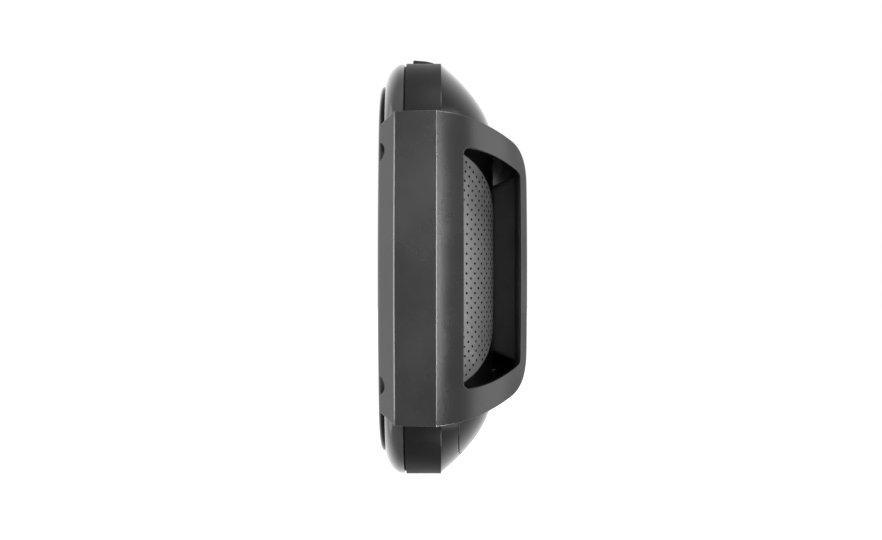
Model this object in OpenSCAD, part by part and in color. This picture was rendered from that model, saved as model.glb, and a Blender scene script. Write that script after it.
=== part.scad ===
// In-vehicle detector and display unit, locked into a metal cradle.
//
// Frame: +X to the right of someone facing the display, +Z up, the display faces -Y.
// The origin is the centre of the four mounting holes, on the cradle's rear face.
//
// Parts are drawn lying flat, with their depth w measured forward from the rear
// mounting face, and stand() turns them upright. An inset is a distance inward
// from the display unit's outline, and a negative inset lies outside it.

/* [Display unit] */
// Width of the display unit
unit_w = 130; // [126:1:136]
// Height of the display unit
unit_h = 91; // [90:1:94]
// Radius of the bowed left and right sides
side_r = 110; // [105:1:120]
// Radius of the outline's corners
corner_r = 20; // [19.5:0.5:21]
// Depth of the domed rear cover, behind the crease
dome_depth = 11.4; // [11:0.1:11.8]
// How far in the dome runs before it is flat
dome_run = 17.7; // [17.4:0.1:17.9]
// Thickness of the moulded shells
wall_t = 1.3; // [1.2:0.1:1.5]

/* [Display] */
// Width of the display module
display_w = 105.5; // [100:0.5:106]
// Height of the display module
display_h = 67.2; // [64:0.2:67.6]
// Thickness of the cover glass
glass_t = 1.2; // [1:0.1:1.2]

/* [Top keys] */
// Travel of the power and mute keys
key_travel = 0.4; // [0.3:0.05:0.4]
// How far the keys stand above the band
key_proud = 1.1; // [0.8:0.05:1.2]
// Clearance around each key
key_gap = 0.2; // [0.15:0.05:0.25]

/* [Cradle] */
// Height of the cradle's sides
cradle_h = 64; // [60:1:64]
// Thickness of the cradle's side walls at the clamps
cradle_wall = 6.5; // [6.2:0.1:7]
// Thickness of the rear plate
plate_t = 1.5; // [1.4:0.1:1.6]
// How far the cradle's sides draw in towards the rear plate
cradle_taper = 15.8; // [14:0.2:17]

/* [Mounting] */
// Distance between mounting holes, side to side
mount_x = 38.1; // [36:0.1:40]
// Distance between mounting holes, top to bottom
mount_z = 30.2; // [29:0.1:30.4]
// Core diameter of the threaded mounting holes
mount_d = 4.2; // [3.4:0.1:4.2]

/* [Hidden] */
$fn = 96;

// Depths, forward from the rear mounting face
crease_w = 18.2;
joint_w = crease_w + 0.9;
seam_w = crease_w + 7.7;
bezel_edge_w = crease_w + 8.6;
clamp_edge_w = crease_w + 9.4;
glass_w = crease_w + 12.1;
lip_w = crease_w + 12.4;
front_w = glass_w + glass_t;
flat_w = crease_w - dome_depth;
eps = 0.01;

// Outline of the unit: bowed sides, round corners, straight top and bottom
side_cx = unit_w / 2 - side_r;
corner_cy = unit_h / 2 - corner_r;
corner_cx = side_cx + sqrt(pow(side_r - corner_r, 2) - pow(corner_cy, 2));
bow_angle = asin(corner_cy / (side_r - corner_r));

// Rear dome
dome_start = 0.3;
dome_power = 1.9;
dome_steps = 9;
side_steps = 5;
corner_steps = 9;

// Bezel and glass
seam_gap = 0.3;
bezel_run = 4.9;
glass_inset = 5.1;
glass_edge = [2.2, 0.95];
band_t = 2.2;

// Cradle
unit_clearance = 0.3;
cradle_out = unit_clearance + cradle_wall;
cradle_half = cradle_h / 2;
cradle_skin = 2.4;
clamp_angle = 17.5;
side_arc_r = 36.1;
side_arc_w = crease_w + 4;
side_arc_z = cradle_half - 36;
window_r = 24.75;
window_arc_w = crease_w - 2.2;
window_front_w = crease_w - 4.6;
window_rear_w = plate_t;

// Clamp screws
screw_z = 23.4;
screw_x = side_cx + sqrt(pow(side_r + cradle_out - 2.2, 2) - pow(screw_z, 2)) - 2.4;
screw_head_w = lip_w - 2.8;

// Dock block between the rear plate and the unit
dock_w = 72;
dock_front_w = flat_w - 0.3;
dock_front_half = 19;
tub_inner = [[plate_t, 22.2], [3, 24.5], [8, 27], [20, 27]];
dock_rear_half = 21;
pin_xs = [-12, -6, 0, 6, 12];
dock_screw_x = 30;

// Top keys, in the band's top wall
key_rear_w = crease_w + 0.9;
key_front_w = crease_w + 6.4;
power_x = 33;
mute_x = 15;
rocker_x = -11;
key_l = 14;
rocker_l = 30;
rocker_pivot_z = unit_h / 2 - 4.1;
band_inner_z = unit_h / 2 - band_t;

// Screws through the rear cover
case_screws_at = [[43, 22], [-43, 22], [43, -22], [-43, -22]];

// Service door in the rear cover
door_inset = 3.6;
door_low = 40.4;
door_high = 26;
door_gap = 0.15;

// Grille, cut from the dome by a circle about a point beyond its side
grille_r = 28.6;
grille_cx = unit_w / 2 + 8;
grille_inset = 3.2;

// ---------------------------------------------------------------- helpers

function arc(cx, cy, r, from, to, steps = 8) =
    [for (i = [0:steps]) let (a = from + (to - from) * i / steps) [cx + r * cos(a), cy + r * sin(a)]];

// Depth of the dome's surface at a distance in from the outline
function dome_at(inset) =
    crease_w - dome_depth * (1 - pow(max(0, 1 - (inset - dome_start) / dome_run), dome_power));

// Points down the dome's surface, shifted inward and forward by t
function dome_curve(t = 0) =
    [for (i = [0:dome_steps]) let (d = dome_start + dome_run * i / dome_steps) [d + t, dome_at(d) + t]];

// Bezel's rounded shoulder, shifted outward by t
function bezel_curve(t = 0, steps = 8) =
    [for (i = [0:steps]) let (a = 90 * i / steps)
        [0.2 - t + bezel_run * (1 - pow(cos(a), 2 / 1.7)),
         bezel_edge_w + (glass_w - bezel_edge_w) * pow(sin(a), 2 / 1.7)]];

function reversed(list) = [for (i = [len(list) - 1:-1:0]) list[i]];

// Distance of the cradle's outer face beyond the unit's outline, at a depth
function cradle_at(w) = cradle_out - cradle_taper * pow(max(0, joint_w - w) / joint_w, 1.8);

module stand() {
    rotate([90, 0, 0]) children();
}

module both_sides() {
    children();
    mirror([1, 0, 0]) children();
}

// The unit's outline, drawn in by an inset
module outline(inset) {
    polygon([for (s = stations)
        [s[0] + (s[2] - inset) * cos(s[3]), s[1] + (s[2] - inset) * sin(s[3])]]);
}

module slab(inset, from, to) {
    translate([0, 0, from]) linear_extrude(to - from) outline(inset);
}

// A profile of [inset, depth] points swept round the right-hand side
module side_sweep(profile, angle = bow_angle) {
    translate([side_cx, 0, 0])
        rotate([0, 0, -angle])
            rotate_extrude(angle = 2 * angle, $fn = 240)
                polygon([for (p = profile) [side_r - p[0], p[1]]]);
}

// Stations round the outline, each [arc centre x, arc centre y, radius, direction]
function quarter(sx, sy) = [
    for (a = arc_angles(0, bow_angle, side_steps)) [sx * side_cx, 0, side_r, facing(a, sx, sy)],
    for (a = arc_angles(bow_angle, 90, corner_steps))
        [sx * corner_cx, sy * corner_cy, corner_r, facing(a, sx, sy)]
];
function arc_angles(from, to, steps) = [for (i = [0:steps - 1]) from + (to - from) * (i + 0.5) / steps];
function facing(a, sx, sy) = atan2(sy * sin(a), sx * cos(a));
stations = concat(quarter(1, 1), reversed(quarter(-1, 1)), quarter(-1, -1), reversed(quarter(1, -1)));

// A solid through rings of the outline, one for each [inset, depth] point, front ring last
module loft(profile) {
    n = len(stations);
    rings = len(profile);
    points = [for (p = profile, s = stations)
        [s[0] + (s[2] - p[0]) * cos(s[3]), s[1] + (s[2] - p[0]) * sin(s[3]), p[1]]];
    walls = [for (j = [0:rings - 2], i = [0:n - 1]) let (k = (i + 1) % n)
        each [[j * n + i, (j + 1) * n + k, j * n + k], [j * n + i, (j + 1) * n + i, (j + 1) * n + k]]];
    polyhedron(points, concat([[for (i = [0:n - 1]) i]], walls,
        [[for (i = [n - 1:-1:0]) (rings - 1) * n + i]]), convexity = 6);
}

// Extrudes a [depth, height] shape from one X to another
module across(from, to) {
    translate([from, 0, 0])
        rotate([90, 0, 90])
            linear_extrude(to - from)
                mirror([1, -1]) children();
}

module rounded_box(size, r) {
    linear_extrude(size[2])
        for (turn = [0, 1])
            union() {
                if (turn == 0) square([size[0] - 2 * r, size[1]], center = true);
                if (turn == 1) square([size[0], size[1] - 2 * r], center = true);
                for (x = [-1, 1], y = [-1, 1])
                    translate([x * (size[0] / 2 - r), y * (size[1] / 2 - r)]) circle(r, $fn = 32);
            }
}

module block(x, y, w, size) {
    translate([x - size[0] / 2, y - size[1] / 2, w]) cube(size);
}

module rod(x, y, from, to, r) {
    translate([x, y, from]) cylinder(h = to - from, r = r, $fn = 48);
}

// ---------------------------------------------------------------- cradle

// Side view of the cradle's height over its depth, as [depth, height] points
module side_contour() {
    top = concat(
        [[0, 18], [0.1, 20.6], [0.35, 23.2], [1.5, 25.4]],
        arc(side_arc_w, side_arc_z, side_arc_r, 121, 95, 8),
        [[joint_w - 0.02, cradle_half], [clamp_edge_w - 0.7, cradle_half]],
        arc(clamp_edge_w - 3.2, cradle_half - 7.1, 7.5, 70, 35, 4),
        [[lip_w + 0.5, cradle_half - 3.9]]);
    polygon(concat(top, reversed([for (p = top) [p[0], -p[1]]])));
}

module side_window() {
    rear_r = 2;
    front_r = 1.3;
    rear_x = window_rear_w + rear_r - window_arc_w;
    front_x = window_front_w - front_r - window_arc_w;
    rear_y = sqrt(pow(window_r - rear_r, 2) - pow(rear_x, 2));
    front_y = sqrt(pow(window_r - front_r, 2) - pow(front_x, 2));
    rear_a = atan2(rear_y, rear_x);
    front_a = atan2(front_y, front_x);
    top = concat(
        arc(window_arc_w + rear_x, rear_y, rear_r, 180, rear_a, 5),
        arc(window_arc_w, 0, window_r, rear_a, front_a, 8),
        arc(window_arc_w + front_x, front_y, front_r, front_a, 0, 5));
    polygon(concat(top, reversed([for (p = top) [p[0], -p[1]]])));
}

module clamp_screw_holes(from, to, r) {
    for (y = [-screw_z, screw_z]) rod(screw_x, y, from, to, r);
}

module arm() {
    steps = 10;
    outer = [for (i = [0:steps]) let (w = joint_w * i / steps) [-cradle_at(w), w]];
    skin_top = window_front_w - 0.3;
    inner = [for (i = [0:steps - 1]) let (w = skin_top * i / (steps - 1)) [cradle_skin - cradle_at(w), w]];
    side_sweep(concat(outer, [[-unit_clearance, joint_w], [-unit_clearance, joint_w - 4.6]],
        reversed(inner)), clamp_angle);
}

// Tub behind the dock block: rear plate, roof and floor
module tub() {
    half = side_cx + side_r + cradle_at(0) - 1;
    across(-half, half)
        difference() {
            intersection() {
                side_contour();
                translate([-1, -40]) square([dock_front_w + 0.9, 80]);
            }
            polygon(concat(tub_inner, reversed([for (p = tub_inner) [p[0], -p[1]]])));
        }
}

module rear_housing() {
    color("dimgray") stand()
        difference() {
            union() {
                both_sides()
                    intersection() {
                        arm();
                        across(20, 80) side_contour();
                    }
                tub();
                for (x = [-1, 1], y = [-1, 1])
                    rod(x * mount_x / 2, y * mount_z / 2, 0.5, 4.6, mount_d / 2 + 1.1);
            }
            both_sides() {
                across(42, 80) side_window();
                clamp_screw_holes(joint_w - 4, joint_w + 1, 1.6);
            }
            for (x = [-1, 1], y = [-1, 1])
                rod(x * mount_x / 2, y * mount_z / 2, -1, 4, mount_d / 2);
            for (x = [-1, 1]) {
                rod(x * dock_screw_x, 0, -1, plate_t + 1, 1.1);
                rod(x * dock_screw_x, 0, -1, 0.7, 2);
            }
            // opening for the power inlet
            translate([-5.3, -30, 1.9]) cube([10.6, 8, 12]);
        }
}

module clamp() {
    edge = 0.3;
    lip_bevel = 3.2;
    lip_in = 4.4;
    slope = bezel_curve(unit_clearance + 0.05);
    lip_inner = [for (p = slope) if (p[0] < lip_in - 0.1) p];
    profile = concat(
        [[-unit_clearance, joint_w], [-cradle_out + edge, joint_w], [-cradle_out, joint_w + edge],
         [-cradle_out, clamp_edge_w], [lip_bevel - cradle_out, lip_w], [lip_in, lip_w]],
        reversed([for (p = lip_inner) [p[0], p[1] + 0.05]]));
    stand()
        difference() {
            intersection() {
                side_sweep(profile, clamp_angle);
                across(42, 80) side_contour();
            }
            clamp_screw_holes(joint_w - 1, lip_w + 1, 1.35);
            clamp_screw_holes(screw_head_w, lip_w + 1, 2.4);
            // recess for the pad
            intersection() {
                side_sweep([[-unit_clearance + 0.1, joint_w + 1.4], [-1.1, joint_w + 1.4],
                    [-1.1, joint_w + 6], [-unit_clearance + 0.1, joint_w + 6]], 9.6);
                translate([0, -20, 0]) cube([80, 40, 40]);
            }
        }
}

module right_clamp() {
    color("gray") clamp();
}

module left_clamp() {
    color("gray") mirror([1, 0, 0]) clamp();
}

module clamp_screws() {
    head_h = 1.6;
    color("darkgray") stand()
        both_sides()
            for (y = [-screw_z, screw_z])
                difference() {
                    union() {
                        rod(screw_x, y, screw_head_w, screw_head_w + head_h, 2.1);
                        rod(screw_x, y, joint_w - 3.6, screw_head_w + eps, 1.2);
                    }
                    // hexagonal drive
                    translate([screw_x, y, screw_head_w + 0.6]) cylinder(h = 2, r = 1.1, $fn = 6);
                }
}

module clamp_inserts() {
    color("goldenrod") stand()
        both_sides()
            for (y = [-screw_z, screw_z])
                difference() {
                    rod(screw_x, y, joint_w - 4, joint_w - 0.1, 1.6);
                    rod(screw_x, y, joint_w - 5, joint_w + 1, 1.25);
                }
}

module clamp_pads() {
    color("black") stand()
        both_sides()
            intersection() {
                side_sweep([[-0.02, joint_w + 1.6], [-1.05, joint_w + 1.6],
                    [-1.05, joint_w + 5.8], [-0.02, joint_w + 5.8]], 9.5);
                translate([0, -19.8, 0]) cube([80, 39.6, 40]);
            }
}

// ---------------------------------------------------------------- dock block

module dock_wedge(side_in, front) {
    rear = dock_rear_half - side_in;
    tip = dock_front_half - side_in;
    across(-dock_w / 2 + side_in, dock_w / 2 - side_in)
        polygon([[plate_t, -rear], [front, -tip], [front, tip], [plate_t, rear]]);
}

module dock_housing() {
    color("#303032") stand()
        difference() {
            union() {
                difference() {
                    dock_wedge(0, dock_front_w);
                    translate([0, 0, -eps]) dock_wedge(1.2, dock_front_w - 0.8);
                }
                // bosses for the screws that hold the block to the plate
                for (x = [-1, 1]) rod(x * dock_screw_x, 0, plate_t, dock_front_w - 0.5, 2.3);
            }
            for (x = [-1, 1]) rod(x * dock_screw_x, 0, 0, 4.8, 0.85);
            for (x = pin_xs) rod(x, 0, 0, 10, 1);
            // opening for the power inlet
            translate([-5.2, -24, 1]) cube([10.4, 6, 4.4]);
        }
}

module dock_board() {
    color("darkgreen") stand()
        difference() {
            block(0, 0, 4.7, [53, 34, 0.8]);
            for (x = pin_xs) rod(x, 0, 4, 6, 0.8);
        }
}

module dock_pins() {
    color("gold") stand()
        for (x = pin_xs) rod(x, 0, 4.4, flat_w, 0.75);
}

module dock_screws() {
    color("darkgray") stand()
        for (x = [-1, 1])
            difference() {
                union() {
                    rod(x * dock_screw_x, 0, 0.1, 0.7, 1.9);
                    rod(x * dock_screw_x, 0, 0.6, 4.6, 0.8);
                }
                translate([x * dock_screw_x, 0, -1]) cylinder(h = 1.4, r = 0.9, $fn = 6);
            }
}

module power_inlet() {
    color("#202020") stand()
        difference() {
            translate([-5, -25.2, 2.1]) cube([10, 6.6, 3.2]);
            translate([-3.8, -27, 2.8]) cube([7.6, 6, 1.8]);
        }
}

// ---------------------------------------------------------------- front of the unit

module cover_glass() {
    edge = [for (i = [0:5]) let (a = 90 * i / 5)
        [glass_inset + glass_edge[0] * (1 - cos(a)), front_w - glass_edge[1] * (1 - sin(a))]];
    color("black") stand() loft(concat([[glass_inset, glass_w]], edge));
}

module display_module() {
    color("#15181c") stand() block(0, 0, glass_w - 2.9, [display_w, display_h, 2.9]);
}

module front_bezel() {
    rim_w = seam_w + seam_gap / 2;
    ledge_w = glass_w - 1.8;
    color("#242628") stand()
        difference() {
            loft(concat([[0.2, rim_w]], bezel_curve()));
            slab(2.4, rim_w - 1, ledge_w);
            block(0, 0, 20, [display_w + 0.6, display_h + 0.6, 20]);
        }
}

module seam_gasket() {
    color("black") stand()
        difference() {
            slab(0.8, seam_w - seam_gap / 2, seam_w + seam_gap / 2);
            slab(2, seam_w - 1, seam_w + 1);
        }
}

// ---------------------------------------------------------------- band

module key_slot(x, length) {
    translate([x - length / 2 - key_gap, 40, key_rear_w - key_gap])
        cube([length + 2 * key_gap, 8, key_front_w - key_rear_w + 2 * key_gap]);
}

module mid_band() {
    top_w = seam_w - seam_gap / 2;
    color("#1c1c1d") stand()
        difference() {
            union() {
                difference() {
                    slab(0.1, crease_w, top_w);
                    slab(band_t, crease_w - 1, top_w + 1);
                }
                // posts for the case screws, each on a web from the wall
                for (p = case_screws_at) rod(p[0], p[1], crease_w, top_w - 0.2, 2.8);
                intersection() {
                    for (p = case_screws_at)
                        translate([p[0] - 0.8, min(p[1], sign(p[1]) * unit_h), crease_w + 1])
                            cube([1.6, unit_h - abs(p[1]), 4]);
                    slab(band_t / 2, 0, 60);
                }
                // lugs for the rocker's pin
                for (w = [key_rear_w - 0.8, key_front_w - 1.1])
                    translate([rocker_x - 1.6, rocker_pivot_z - 1.4, w])
                        cube([3.2, band_inner_z + 1.4 - rocker_pivot_z + eps, 1.9]);
            }
            for (p = case_screws_at) rod(p[0], p[1], crease_w - 1, top_w - 2, 1.05);
            key_slot(power_x, key_l);
            key_slot(mute_x, key_l);
            difference() {
                key_slot(rocker_x, rocker_l);
                translate([rocker_x - 1.6, 30, 0]) cube([3.2, band_inner_z - 30.2, 40]);
            }
            rod(rocker_x, rocker_pivot_z, key_rear_w - 0.6, key_front_w + 0.6, 0.6);
        }
}

// ---------------------------------------------------------------- rear cover

module dome_solid(t = 0) {
    loft(concat(reversed(dome_curve(t)), t > 0 ? [[dome_start + t, crease_w + 5]] : []));
}

module dome_shell(t) {
    difference() {
        dome_solid();
        dome_solid(t);
    }
}

// Outline of the service door, seen from behind
module door_shape(gap) {
    intersection() {
        outline(door_inset + gap);
        translate([-80, -door_low + gap]) square([160, door_low - door_high - 2 * gap]);
    }
}

module grille_shape(gap) {
    intersection() {
        outline(grille_inset + gap);
        translate([grille_cx, 0]) circle(grille_r - gap, $fn = 160);
    }
}

module rear_cover() {
    boss_r = 3.6;
    color("#1a1b1d") stand()
        difference() {
            union() {
                difference() {
                    dome_shell(wall_t);
                    both_sides() linear_extrude(40) grille_shape(0);
                    linear_extrude(40) door_shape(0);
                }
                // bosses around the case screws, kept inside the dome
                intersection() {
                    for (p = case_screws_at) rod(p[0], p[1], flat_w, crease_w - 0.1, boss_r);
                    dome_solid();
                }
            }
            for (p = case_screws_at) {
                rod(p[0], p[1], 0, 30, 1.2);
                rod(p[0], p[1], 0, crease_w - 2.4, 2.4);
            }
            for (x = pin_xs) block(x, 0, flat_w - 1, [3.2, 4.2, 1.4]);
        }
}

module port_door() {
    color("#1a1b1d") stand()
        intersection() {
            dome_shell(wall_t);
            linear_extrude(40) door_shape(door_gap);
        }
}

module grille() {
    stand()
        intersection() {
            side_sweep(concat(dome_curve(), [[21, flat_w], [21, flat_w + 1]], reversed(dome_curve(1))));
            linear_extrude(40) grille_shape(0.15);
        }
}

module right_grille() {
    color("silver") grille();
}

module left_grille() {
    color("silver") mirror([1, 0, 0]) grille();
}

module contact_pads() {
    color("gold") stand()
        for (x = pin_xs) block(x, 0, flat_w, [3.2, 4.2, 0.4]);
}

module case_screws() {
    head_w = crease_w - 4;
    color("darkgray") stand()
        for (p = case_screws_at)
            difference() {
                union() {
                    rod(p[0], p[1], head_w, crease_w - 2.4, 2.1);
                    rod(p[0], p[1], head_w + 1, crease_w + 4, 1);
                }
                translate([p[0], p[1], head_w - 1]) cylinder(h = 1.9, r = 1, $fn = 6);
            }
}

// ---------------------------------------------------------------- inside the unit

module racetrack(w, h) {
    square([w, h - w], center = true);
    for (y = [-1, 1]) translate([0, y * (h - w) / 2]) circle(w / 2);
}

module speaker() {
    stand()
        translate([50.5, 0, 16]) {
            difference() {
                linear_extrude(4.4) racetrack(17, 32);
                translate([0, 0, -1]) linear_extrude(2.4) racetrack(15, 30);
            }
            translate([0, 0, 0.6]) linear_extrude(1) racetrack(8, 22);
        }
}

module right_speaker() {
    color("#26262a") speaker();
}

module left_speaker() {
    color("#26262a") mirror([1, 0, 0]) speaker();
}

module chassis_plate() {
    color("lightsteelblue") stand()
        difference() {
            block(0, 0, glass_w - 3.7, [100, 58, 0.8]);
            for (x = [-1, 1]) block(x * 28, 0, 20, [24, 34, 20]);
        }
}

module main_board() {
    color("darkgreen") stand()
        difference() {
            block(0, -4, 22.4, [78, 52, 1.2]);
            for (x = [-1, 1], y = [-1, 1]) rod(x * 36, y * 23 - 4, 20, 26, 1.1);
        }
}

module board_spacers() {
    color("silver") stand()
        for (x = [-1, 1], y = [-1, 1]) rod(x * 36, y * 23 - 4, 23.6, glass_w - 3.7, 1.9);
}

module board_chips() {
    color("#1d1d1f") stand() {
        block(12, 4, 21.3, [14, 14, 1.1]);
        block(30, 4, 21.4, [10, 12, 1]);
        block(12, -14, 21.4, [11, 9, 1]);
        block(30, -14, 21.5, [6, 6, 0.9]);
    }
}

module shield_can() {
    color("lightgray") stand()
        difference() {
            block(-20, 6, 20, [30, 22, 2.4]);
            block(-20, 6, 20.3, [29.4, 21.4, 3]);
        }
}

module usb_port() {
    color("silver") stand()
        difference() {
            block(12, -28, 14, [9, 3.2, 8.4]);
            block(12, -28, 13, [8, 2.4, 7]);
        }
}

module card_slot() {
    color("silver") stand()
        difference() {
            block(-16, -23, 20.6, [14.6, 14, 1.8]);
            block(-16, -25, 21, [11.4, 14, 1]);
        }
}

module battery() {
    color("slategray") stand()
        translate([0, -3, flat_w + wall_t]) rounded_box([56, 38, 5.4], 2.5);
}

module receiver_board() {
    color("darkgreen") stand() block(9, 30.6, 21, [58, 13.6, 1.2]);
}

module radar_horn() {
    color("silver") stand()
        difference() {
            across(6, 34) polygon([[14.2, 25], [14.2, 36.6], [21, 33.6], [21, 28]]);
            across(7, 33) polygon([[13, 25.4], [13, 36.2], [20.2, 32.6], [20.2, 29]]);
        }
}

module laser_sensor() {
    color("#2a2a2c") stand()
        difference() {
            rod(-8, 30.6, 14.5, 21, 4);
            rod(-8, 30.6, 13, 19.8, 3.2);
        }
}

module laser_lens() {
    color("#60202a") stand() rod(-8, 30.6, 14.9, 16.3, 3.2);
}

module gps_antenna() {
    color("tan") stand() {
        block(-34, 35.6, 17, [14, 1.2, 7.6]);
        block(-34, 38, 17.4, [13, 3.6, 6.8]);
    }
}

// ---------------------------------------------------------------- top keys

module key_board() {
    color("darkgreen") stand() block(8, 38.5, key_rear_w - 0.2, [68, 0.8, 5.6]);
}

module key_switches() {
    color("#d0d0d0") stand()
        for (x = [power_x, mute_x, rocker_x - 9, rocker_x + 9])
            block(x, 39.85, key_rear_w + 1, [3.6, 1.9, 3.4]);
}

// A key's side view: its top is crowned and falls away to the rear
module key_profile() {
    top = unit_h / 2;
    polygon([[key_rear_w, band_inner_z - 0.5], [key_rear_w, top], [key_rear_w + 0.8, top + 0.5 * key_proud],
        [key_rear_w + 2.3, top + 0.78 * key_proud], [key_front_w - 0.5, top + key_proud],
        [key_front_w, top + key_proud - 0.4], [key_front_w, band_inner_z - 0.5]]);
}

module key(x) {
    stand() {
        across(x - key_l / 2, x + key_l / 2) key_profile();
        // flange that keeps the key in its slot, and the foot that presses the switch
        translate([x - key_l / 2 - 0.7, band_inner_z - 0.9, key_rear_w - 0.5])
            cube([key_l + 1.4, 0.7, key_front_w - key_rear_w + 1]);
        block(x, band_inner_z - 1.3, key_rear_w + 1.4, [3, 1.4, 2.6]);
    }
}

module power_key() {
    color("#101011") key(power_x);
}

module mute_key() {
    color("#101011") key(mute_x);
}

module volume_rocker() {
    half = rocker_l / 2;
    color("#101011") stand()
        difference() {
            union() {
                across(rocker_x - half, rocker_x + half) key_profile();
                for (side = [-1, 1]) {
                    block(rocker_x + side * (half + 2.6) / 2, band_inner_z - 0.8, key_rear_w,
                        [half - 2.6, 0.8, key_front_w - key_rear_w]);
                    block(rocker_x + side * 9, band_inner_z - 1.5, key_rear_w + 1.4, [3, 1.2, 2.6]);
                }
                // knuckle on the pin
                translate([rocker_x - 1.5, rocker_pivot_z - 1.3, key_rear_w + 1.4]) cube([3, 3.4, 2.7]);
            }
            // room for the band's lugs
            for (w = [key_rear_w - 1, key_front_w - 1.4])
                translate([rocker_x - 1.9, 30, w]) cube([3.8, band_inner_z + 0.3 - 30, 2.4]);
            rod(rocker_x, rocker_pivot_z, key_rear_w - 1, key_front_w + 1, 0.64);
        }
}

module rocker_pin() {
    color("silver") stand() rod(rocker_x, rocker_pivot_z, key_rear_w - 0.4, key_front_w + 0.4, 0.6);
}

rear_housing();
right_clamp();
left_clamp();
clamp_screws();
clamp_inserts();
clamp_pads();
dock_housing();
dock_board();
dock_pins();
dock_screws();
power_inlet();
cover_glass();
display_module();
front_bezel();
seam_gasket();
mid_band();
rear_cover();
port_door();
right_grille();
left_grille();
right_speaker();
left_speaker();
contact_pads();
case_screws();
chassis_plate();
main_board();
board_spacers();
board_chips();
shield_can();
usb_port();
card_slot();
battery();
receiver_board();
radar_horn();
laser_sensor();
laser_lens();
gps_antenna();
key_board();
key_switches();
power_key();
mute_key();
volume_rocker();
rocker_pin();
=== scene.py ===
import math

import bmesh
import bpy
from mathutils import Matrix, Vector
from mathutils.geometry import delaunay_2d_cdt

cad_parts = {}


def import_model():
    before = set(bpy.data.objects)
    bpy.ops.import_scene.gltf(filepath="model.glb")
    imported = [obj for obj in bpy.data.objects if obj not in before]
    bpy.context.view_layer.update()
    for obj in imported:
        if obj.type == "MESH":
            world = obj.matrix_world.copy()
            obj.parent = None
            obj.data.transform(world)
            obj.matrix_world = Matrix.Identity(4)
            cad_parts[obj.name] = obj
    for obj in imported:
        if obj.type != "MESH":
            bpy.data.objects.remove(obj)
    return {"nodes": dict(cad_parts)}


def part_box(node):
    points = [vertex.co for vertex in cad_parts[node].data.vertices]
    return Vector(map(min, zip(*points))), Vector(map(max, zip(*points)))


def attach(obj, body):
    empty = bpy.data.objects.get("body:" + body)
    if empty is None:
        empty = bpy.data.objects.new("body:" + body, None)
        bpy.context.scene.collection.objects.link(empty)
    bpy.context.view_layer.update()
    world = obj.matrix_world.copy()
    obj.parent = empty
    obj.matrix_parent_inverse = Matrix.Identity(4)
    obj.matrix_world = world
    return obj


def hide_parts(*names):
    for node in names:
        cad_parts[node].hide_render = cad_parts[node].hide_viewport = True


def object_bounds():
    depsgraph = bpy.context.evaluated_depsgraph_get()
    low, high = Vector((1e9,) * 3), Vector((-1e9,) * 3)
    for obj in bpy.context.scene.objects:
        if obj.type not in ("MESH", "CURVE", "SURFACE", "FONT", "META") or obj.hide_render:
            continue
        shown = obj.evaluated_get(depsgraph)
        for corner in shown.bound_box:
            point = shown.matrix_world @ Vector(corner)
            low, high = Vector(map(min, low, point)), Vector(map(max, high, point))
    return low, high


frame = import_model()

cad_lo, cad_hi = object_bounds()

# Shapes are drawn in millimetres as (x, y, w): y is up, and w is the depth forward from the
# cradle's rear face. An inset is a distance inward from the display unit's outline.
MM = 0.001
CRADLE = "cradle"


def reach(node):
    """A node's box in millimetres, as its (low, high) in x, in y and in w."""
    lo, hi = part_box(node)
    return (lo.x / MM, hi.x / MM), (lo.z / MM, hi.z / MM), (-hi.y / MM, -lo.y / MM)


def place(x, y, w):
    """A drawn point in metres, in the part's frame."""
    return Vector((x * MM, -w * MM, y * MM))


# ------------------------------------------------------------------ sizes, from the frame

EDGE = 0.1  # how far the shells' outer faces lie inside the unit's outline
band_x, band_y, (crease_w, band_front_w) = reach("mid_band")
clamp_x, clamp_y, (joint_w, lip_w) = reach("right_clamp")
glass_w, front_w = reach("cover_glass")[2]
bezel_rear_w = reach("front_bezel")[2][0]
flat_w = reach("rear_cover")[2][0]
dock_x, dock_y, (plate_w, dock_front_w) = reach("dock_housing")

SIDE_R = 110
CORNER_R = 20
half_w = band_x[1] + EDGE
half_h = band_y[1] + EDGE
side_cx = half_w - SIDE_R
corner_cy = half_h - CORNER_R
corner_cx = side_cx + math.sqrt((SIDE_R - CORNER_R) ** 2 - corner_cy**2)
bow = math.asin(corner_cy / (SIDE_R - CORNER_R))

DOME_START = 0.3
DOME_RUN = 17.7
DOME_POWER = 1.9
dome_depth = crease_w - flat_w
SHELL_T = 1.3

BEZEL_RUN = 4.9
BEZEL_POWER = 2 / 1.7
bezel_edge_w = bezel_rear_w + 0.75
GLASS_INSET = 5.1

cradle_out = clamp_x[1] - half_w
cradle_half = clamp_y[1]
CRADLE_TAPER = 15.8
TAPER_POWER = 1.8
CRADLE_SKIN = 2.4
clamp_edge_w = lip_w - 3

MOUNT_D = 4.2
MOUNT_HOLES = [(x * 38.1 / 2, y * 30.2 / 2) for x in (-1, 1) for y in (-1, 1)]
clamp_screw_x, clamp_screw_y = [span[1] - 2.1 for span in reach("clamp_screws")[:2]]
dock_screw_x = reach("dock_screws")[0][1] - 1.9


# ------------------------------------------------------------------ outlines

def arc(cx, cy, r, start, stop, steps):
    """Points along an arc, with its angles in degrees."""
    angles = [math.radians(start + (stop - start) * i / steps) for i in range(steps + 1)]
    return [Vector((cx + r * math.cos(a), cy + r * math.sin(a))) for a in angles]


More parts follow.
